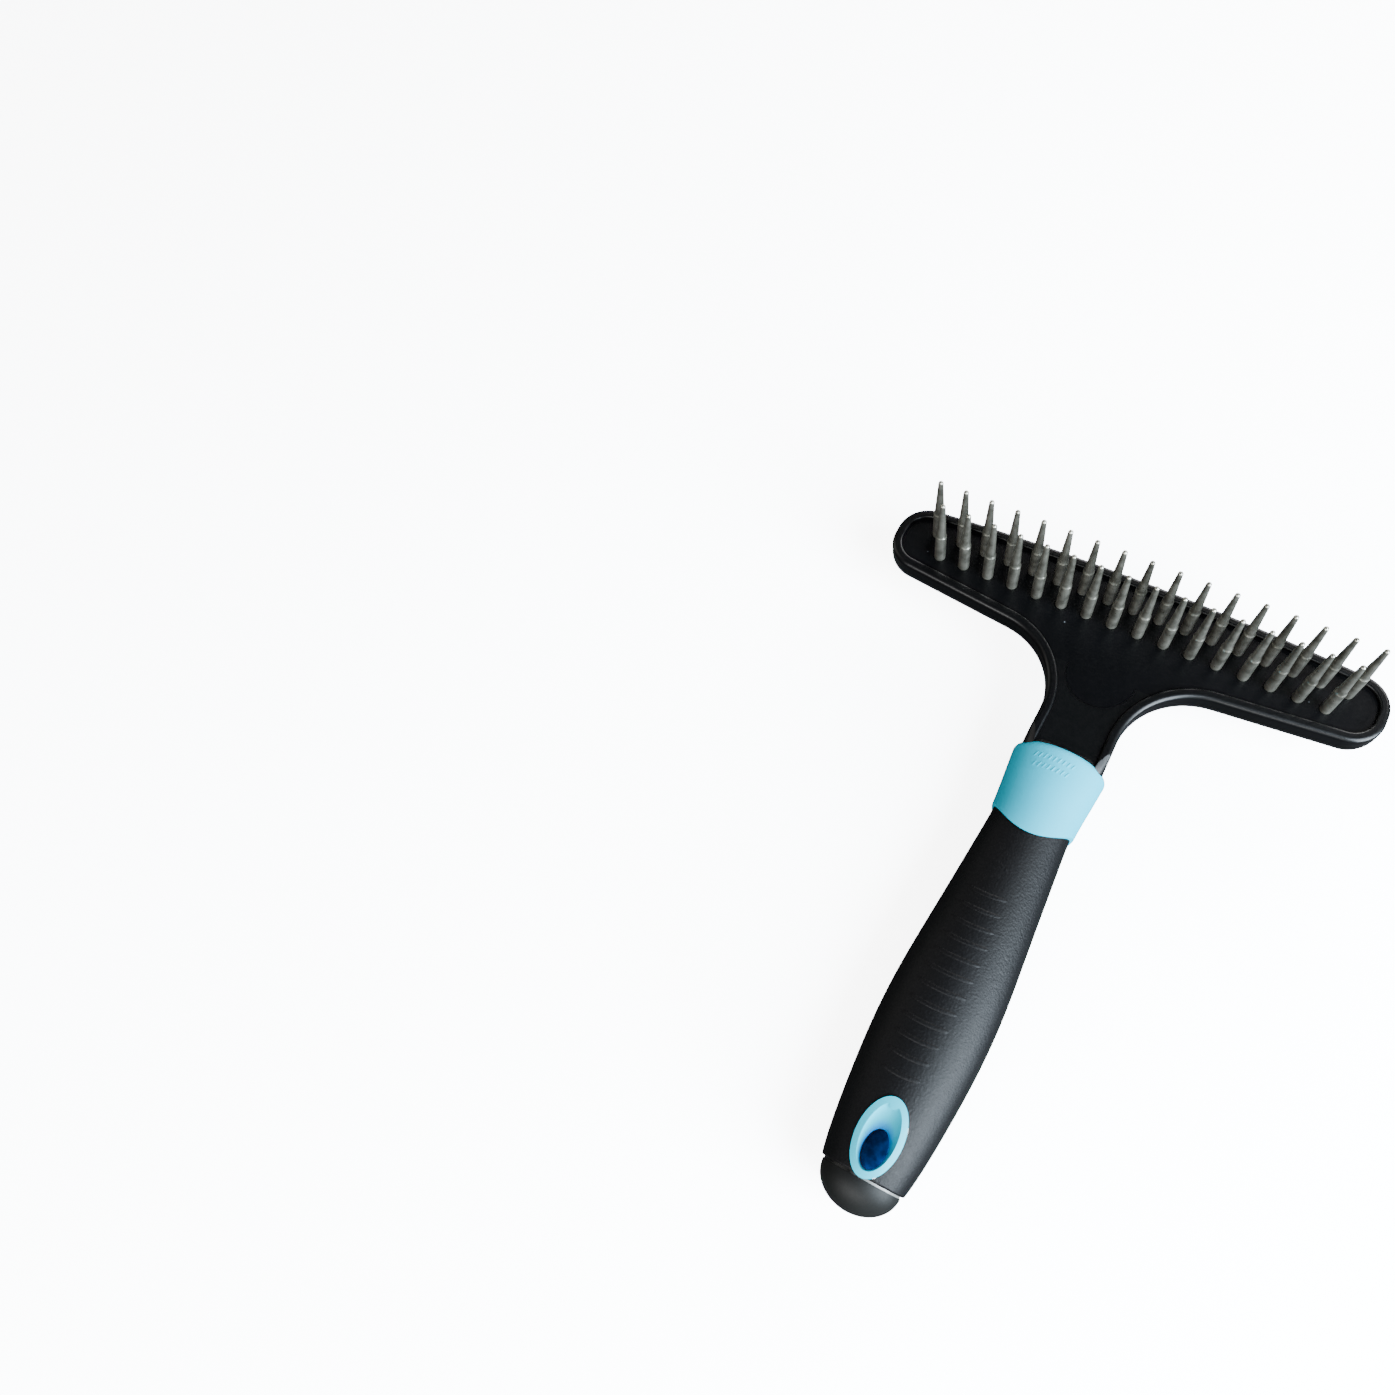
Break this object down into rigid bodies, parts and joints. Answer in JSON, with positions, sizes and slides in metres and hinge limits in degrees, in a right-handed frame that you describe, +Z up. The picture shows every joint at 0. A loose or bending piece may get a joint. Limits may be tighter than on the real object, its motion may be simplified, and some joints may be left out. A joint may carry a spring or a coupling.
{
  "type": "undercoat rake",
  "caption": "T-shaped pet undercoat rake: two staggered rows of stepped steel pins that turn, a rubber-covered handle, an aqua collar and a hanging eyelet.",
  "frame": {"origin": "middle of the tool's bounding box at its lowest level, where the grip's belly meets the surface it lies on", "axes": "+Z up along the pins, +Y from the handle towards the head, +X along the pin rows"},
  "size_m": [0.1212, 0.1576, 0.036],
  "materials": {
    "head_plastic": "moulded black ABS, satin gloss",
    "plate_plastic": "moulded black ABS, smooth satin face",
    "collar_plastic": "glossy aqua plastic",
    "core_plastic": "pale grey plastic, hidden but for its thin flange",
    "grip_rubber": "matte black thermoplastic rubber, fine grain",
    "eyelet_plastic": "glossy aqua plastic",
    "cap_plastic": "charcoal plastic, satin",
    "pin_steel": "turned stainless steel, dull grey"
  },
  "bodies": {
    "rake_body": {"head_shell": "head_plastic", "pin_plate": "plate_plastic", "collar": "collar_plastic", "handle_core": "core_plastic", "grip_sleeve": "grip_rubber", "hang_eyelet": "eyelet_plastic", "end_cap": "cap_plastic"},
    "pin_back_01": {"pin_back_01": "pin_steel"},
    "pin_back_02": {"pin_back_02": "pin_steel"},
    "pin_back_03": {"pin_back_03": "pin_steel"},
    "pin_back_04": {"pin_back_04": "pin_steel"},
    "pin_back_05": {"pin_back_05": "pin_steel"},
    "pin_back_06": {"pin_back_06": "pin_steel"},
    "pin_back_07": {"pin_back_07": "pin_steel"},
    "pin_back_08": {"pin_back_08": "pin_steel"},
    "pin_back_09": {"pin_back_09": "pin_steel"},
    "pin_back_10": {"pin_back_10": "pin_steel"},
    "pin_back_11": {"pin_back_11": "pin_steel"},
    "pin_back_12": {"pin_back_12": "pin_steel"},
    "pin_back_13": {"pin_back_13": "pin_steel"},
    "pin_back_14": {"pin_back_14": "pin_steel"},
    "pin_back_15": {"pin_back_15": "pin_steel"},
    "pin_back_16": {"pin_back_16": "pin_steel"},
    "pin_back_17": {"pin_back_17": "pin_steel"},
    "pin_front_01": {"pin_front_01": "pin_steel"},
    "pin_front_02": {"pin_front_02": "pin_steel"},
    "pin_front_03": {"pin_front_03": "pin_steel"},
    "pin_front_04": {"pin_front_04": "pin_steel"},
    "pin_front_05": {"pin_front_05": "pin_steel"},
    "pin_front_06": {"pin_front_06": "pin_steel"},
    "pin_front_07": {"pin_front_07": "pin_steel"},
    "pin_front_08": {"pin_front_08": "pin_steel"},
    "pin_front_09": {"pin_front_09": "pin_steel"},
    "pin_front_10": {"pin_front_10": "pin_steel"},
    "pin_front_11": {"pin_front_11": "pin_steel"},
    "pin_front_12": {"pin_front_12": "pin_steel"},
    "pin_front_13": {"pin_front_13": "pin_steel"},
    "pin_front_14": {"pin_front_14": "pin_steel"},
    "pin_front_15": {"pin_front_15": "pin_steel"},
    "pin_front_16": {"pin_front_16": "pin_steel"}
  },
  "joints": [
    {"name": "pin_back_01_spin", "type": "hinge", "parent": "rake_body", "child": "pin_back_01", "pos_m": [-0.0508, 0.0706, 0.016], "axis": [0, 0, 1], "continuous": true},
    {"name": "pin_back_02_spin", "type": "hinge", "parent": "rake_body", "child": "pin_back_02", "pos_m": [-0.04445, 0.0706, 0.016], "axis": [0, 0, 1], "continuous": true},
    {"name": "pin_back_03_spin", "type": "hinge", "parent": "rake_body", "child": "pin_back_03", "pos_m": [-0.0381, 0.0706, 0.016], "axis": [0, 0, 1], "continuous": true},
    {"name": "pin_back_04_spin", "type": "hinge", "parent": "rake_body", "child": "pin_back_04", "pos_m": [-0.03175, 0.0706, 0.016], "axis": [0, 0, 1], "continuous": true},
    {"name": "pin_back_05_spin", "type": "hinge", "parent": "rake_body", "child": "pin_back_05", "pos_m": [-0.0254, 0.0706, 0.016], "axis": [0, 0, 1], "continuous": true},
    {"name": "pin_back_06_spin", "type": "hinge", "parent": "rake_body", "child": "pin_back_06", "pos_m": [-0.01905, 0.0706, 0.016], "axis": [0, 0, 1], "continuous": true},
    {"name": "pin_back_07_spin", "type": "hinge", "parent": "rake_body", "child": "pin_back_07", "pos_m": [-0.0127, 0.0706, 0.016], "axis": [0, 0, 1], "continuous": true},
    {"name": "pin_back_08_spin", "type": "hinge", "parent": "rake_body", "child": "pin_back_08", "pos_m": [-0.00635, 0.0706, 0.016], "axis": [0, 0, 1], "continuous": true},
    {"name": "pin_back_09_spin", "type": "hinge", "parent": "rake_body", "child": "pin_back_09", "pos_m": [0, 0.0706, 0.016], "axis": [0, 0, 1], "continuous": true},
    {"name": "pin_back_10_spin", "type": "hinge", "parent": "rake_body", "child": "pin_back_10", "pos_m": [0.00635, 0.0706, 0.016], "axis": [0, 0, 1], "continuous": true},
    {"name": "pin_back_11_spin", "type": "hinge", "parent": "rake_body", "child": "pin_back_11", "pos_m": [0.0127, 0.0706, 0.016], "axis": [0, 0, 1], "continuous": true},
    {"name": "pin_back_12_spin", "type": "hinge", "parent": "rake_body", "child": "pin_back_12", "pos_m": [0.01905, 0.0706, 0.016], "axis": [0, 0, 1], "continuous": true},
    {"name": "pin_back_13_spin", "type": "hinge", "parent": "rake_body", "child": "pin_back_13", "pos_m": [0.0254, 0.0706, 0.016], "axis": [0, 0, 1], "continuous": true},
    {"name": "pin_back_14_spin", "type": "hinge", "parent": "rake_body", "child": "pin_back_14", "pos_m": [0.03175, 0.0706, 0.016], "axis": [0, 0, 1], "continuous": true},
    {"name": "pin_back_15_spin", "type": "hinge", "parent": "rake_body", "child": "pin_back_15", "pos_m": [0.0381, 0.0706, 0.016], "axis": [0, 0, 1], "continuous": true},
    {"name": "pin_back_16_spin", "type": "hinge", "parent": "rake_body", "child": "pin_back_16", "pos_m": [0.04445, 0.0706, 0.016], "axis": [0, 0, 1], "continuous": true},
    {"name": "pin_back_17_spin", "type": "hinge", "parent": "rake_body", "child": "pin_back_17", "pos_m": [0.0508, 0.0706, 0.016], "axis": [0, 0, 1], "continuous": true},
    {"name": "pin_front_01_spin", "type": "hinge", "parent": "rake_body", "child": "pin_front_01", "pos_m": [-0.04763, 0.065, 0.016], "axis": [0, 0, 1], "continuous": true},
    {"name": "pin_front_02_spin", "type": "hinge", "parent": "rake_body", "child": "pin_front_02", "pos_m": [-0.04127, 0.065, 0.016], "axis": [0, 0, 1], "continuous": true},
    {"name": "pin_front_03_spin", "type": "hinge", "parent": "rake_body", "child": "pin_front_03", "pos_m": [-0.03492, 0.065, 0.016], "axis": [0, 0, 1], "continuous": true},
    {"name": "pin_front_04_spin", "type": "hinge", "parent": "rake_body", "child": "pin_front_04", "pos_m": [-0.02857, 0.065, 0.016], "axis": [0, 0, 1], "continuous": true},
    {"name": "pin_front_05_spin", "type": "hinge", "parent": "rake_body", "child": "pin_front_05", "pos_m": [-0.02223, 0.065, 0.016], "axis": [0, 0, 1], "continuous": true},
    {"name": "pin_front_06_spin", "type": "hinge", "parent": "rake_body", "child": "pin_front_06", "pos_m": [-0.01588, 0.065, 0.016], "axis": [0, 0, 1], "continuous": true},
    {"name": "pin_front_07_spin", "type": "hinge", "parent": "rake_body", "child": "pin_front_07", "pos_m": [-0.00953, 0.065, 0.016], "axis": [0, 0, 1], "continuous": true},
    {"name": "pin_front_08_spin", "type": "hinge", "parent": "rake_body", "child": "pin_front_08", "pos_m": [-0.00317, 0.065, 0.016], "axis": [0, 0, 1], "continuous": true},
    {"name": "pin_front_09_spin", "type": "hinge", "parent": "rake_body", "child": "pin_front_09", "pos_m": [0.00317, 0.065, 0.016], "axis": [0, 0, 1], "continuous": true},
    {"name": "pin_front_10_spin", "type": "hinge", "parent": "rake_body", "child": "pin_front_10", "pos_m": [0.00953, 0.065, 0.016], "axis": [0, 0, 1], "continuous": true},
    {"name": "pin_front_11_spin", "type": "hinge", "parent": "rake_body", "child": "pin_front_11", "pos_m": [0.01588, 0.065, 0.016], "axis": [0, 0, 1], "continuous": true},
    {"name": "pin_front_12_spin", "type": "hinge", "parent": "rake_body", "child": "pin_front_12", "pos_m": [0.02223, 0.065, 0.016], "axis": [0, 0, 1], "continuous": true},
    {"name": "pin_front_13_spin", "type": "hinge", "parent": "rake_body", "child": "pin_front_13", "pos_m": [0.02857, 0.065, 0.016], "axis": [0, 0, 1], "continuous": true},
    {"name": "pin_front_14_spin", "type": "hinge", "parent": "rake_body", "child": "pin_front_14", "pos_m": [0.03492, 0.065, 0.016], "axis": [0, 0, 1], "continuous": true},
    {"name": "pin_front_15_spin", "type": "hinge", "parent": "rake_body", "child": "pin_front_15", "pos_m": [0.04127, 0.065, 0.016], "axis": [0, 0, 1], "continuous": true},
    {"name": "pin_front_16_spin", "type": "hinge", "parent": "rake_body", "child": "pin_front_16", "pos_m": [0.04763, 0.065, 0.016], "axis": [0, 0, 1], "continuous": true}
  ]
}
